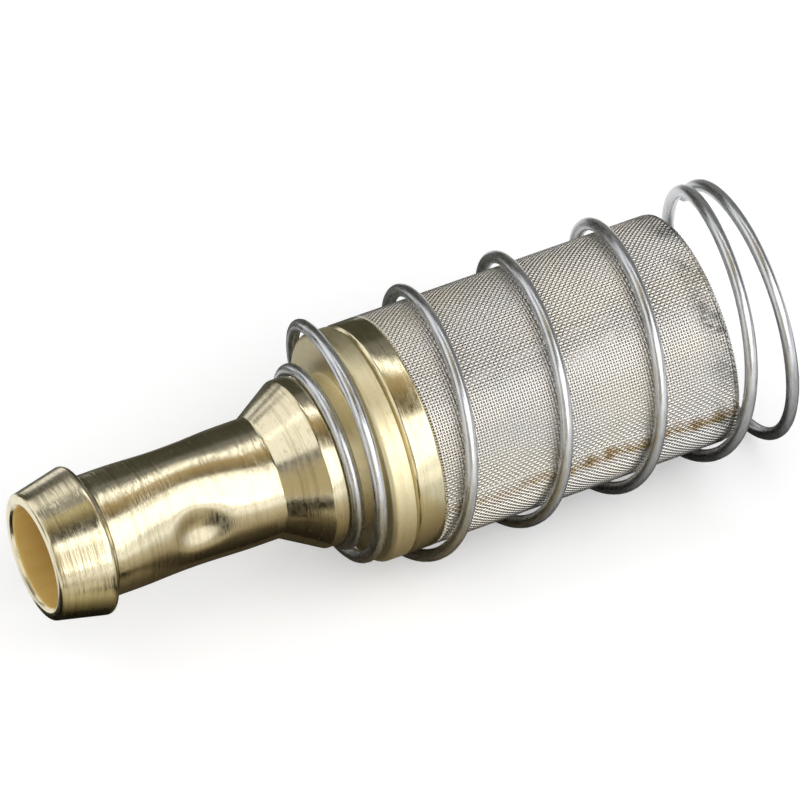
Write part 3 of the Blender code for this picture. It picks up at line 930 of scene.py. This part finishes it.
def add_stage(name, bm, material):
    """A piece of the studio, which isn't part of the object."""
    mesh = bpy.data.meshes.new(name)
    bm.to_mesh(mesh)
    bm.free()
    mesh.materials.append(material)
    thing = bpy.data.objects.new(name, mesh)
    bpy.context.collection.objects.link(thing)
    return thing


def flag(name, tones, size, place):
    """A card that only reflections see and that casts no shadow: a painted reflection on the metal, its
    dark tones painted shade. Its tones run along Y.
    """
    material, tree, shader = new_material(name)
    coordinates = add_node(tree, "ShaderNodeTexCoord").outputs["Object"]
    axes = add_node(tree, "ShaderNodeSeparateXYZ", {"Vector": coordinates})
    near, far = min(tones), max(tones)
    share = add_node(
        tree, "ShaderNodeMapRange",
        {"Value": axes.outputs["Y"], "From Min": near * MM, "From Max": far * MM},
    )
    stops = {(y - near) / (far - near): tone for y, tone in tones.items()}
    fade = add_node(tree, "ShaderNodeValToRGB", {"Fac": share.outputs[0]}, stops=stops)
    set_inputs(tree, shader, {
        "Base Color": fade.outputs["Color"], "Roughness": 0.9, "Specular IOR Level": 0.0,
    })
    bm = bmesh.new()
    grown = place @ Matrix.Diagonal((size[0] * MM, size[1] * MM, 1, 1))
    bmesh.ops.create_grid(bm, x_segments=1, y_segments=1, size=0.5, matrix=grown)
    card = add_stage(name, bm, material)
    card.visible_camera = False
    card.visible_diffuse = False
    card.visible_shadow = False


def pale_floor(lowest):
    """A matt white floor that looks a little brighter than it is lit, and keeps the part's shadow."""
    material, tree, shader = new_material("pale_floor")
    rays = add_node(tree, "ShaderNodeLightPath").outputs
    seen = add_node(
        tree, "ShaderNodeMath", {0: rays["Is Camera Ray"], 1: rays["Is Glossy Ray"]}, operation="MAXIMUM"
    )
    seen = add_node(
        tree, "ShaderNodeMath", {0: seen.outputs[0], 1: rays["Is Transmission Ray"]}, operation="MAXIMUM"
    )
    glow = add_node(tree, "ShaderNodeMath", {0: seen.outputs[0], 1: FLOOR_GLOW}, operation="MULTIPLY")
    set_inputs(tree, shader, {
        "Base Color": linear("#F2F2F2"), "Roughness": 0.9, "Specular IOR Level": 0.0,
        "Emission Color": linear("#FFFFFF"), "Emission Strength": glow.outputs[0],
    })
    bm = bmesh.new()
    place = Matrix.Translation((0, 0, lowest))
    bmesh.ops.create_circle(bm, cap_ends=True, segments=FLOOR_STEPS, radius=FLOOR_RADIUS, matrix=place)
    add_stage("floor", bm, material)


def studio(lowest):
    """The floor, the cards, the lamps and a dim even world round the part."""
    pale_floor(lowest)
    floor = Matrix.Translation((0, 0, lowest))
    upright = Matrix.Rotation(QUARTER_TURN, 4, "X")
    cone = floor @ Matrix.Translation(CONE_FOOT) @ Matrix.Rotation(CONE_HEADING, 4, "Z")
    facing_cone = Matrix.Rotation(QUARTER_TURN, 4, "Z") @ upright
    for cards, base, stand in (
        (UPRIGHT_CARDS, floor, upright),
        (LEVEL_CARDS, floor, Matrix.Identity(4)),
        (CONE_LEVEL_CARDS, cone, Matrix.Identity(4)),
        (CONE_UPRIGHT_CARDS, cone, facing_cone),
    ):
        for name, (tones, size, middle) in cards.items():
            flag(name, tones, size, base @ Matrix.Translation(Vector(middle) * MM) @ stand)
    world = bpy.data.worlds.new("studio")
    world.use_nodes = True
    background = world.node_tree.nodes["Background"]
    set_inputs(world.node_tree, background, {"Color": linear("#FFFFFF"), "Strength": WORLD_LEVEL})
    bpy.context.scene.world = world
    bpy.context.scene.view_settings.view_transform = "Standard"
    for name, settings in LAMPS.items():
        softbox(name, *settings)


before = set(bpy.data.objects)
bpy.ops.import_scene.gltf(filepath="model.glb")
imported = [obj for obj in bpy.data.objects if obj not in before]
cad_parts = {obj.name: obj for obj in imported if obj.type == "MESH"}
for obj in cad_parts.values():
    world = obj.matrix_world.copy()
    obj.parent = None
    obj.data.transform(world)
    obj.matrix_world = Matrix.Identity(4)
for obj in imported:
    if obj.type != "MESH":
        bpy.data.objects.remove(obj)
cad_low, cad_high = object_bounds()
hose_tail()
foot_valve()
strainer_ring()
basket()
guard_spring()
camera()
studio(cad_low.z)
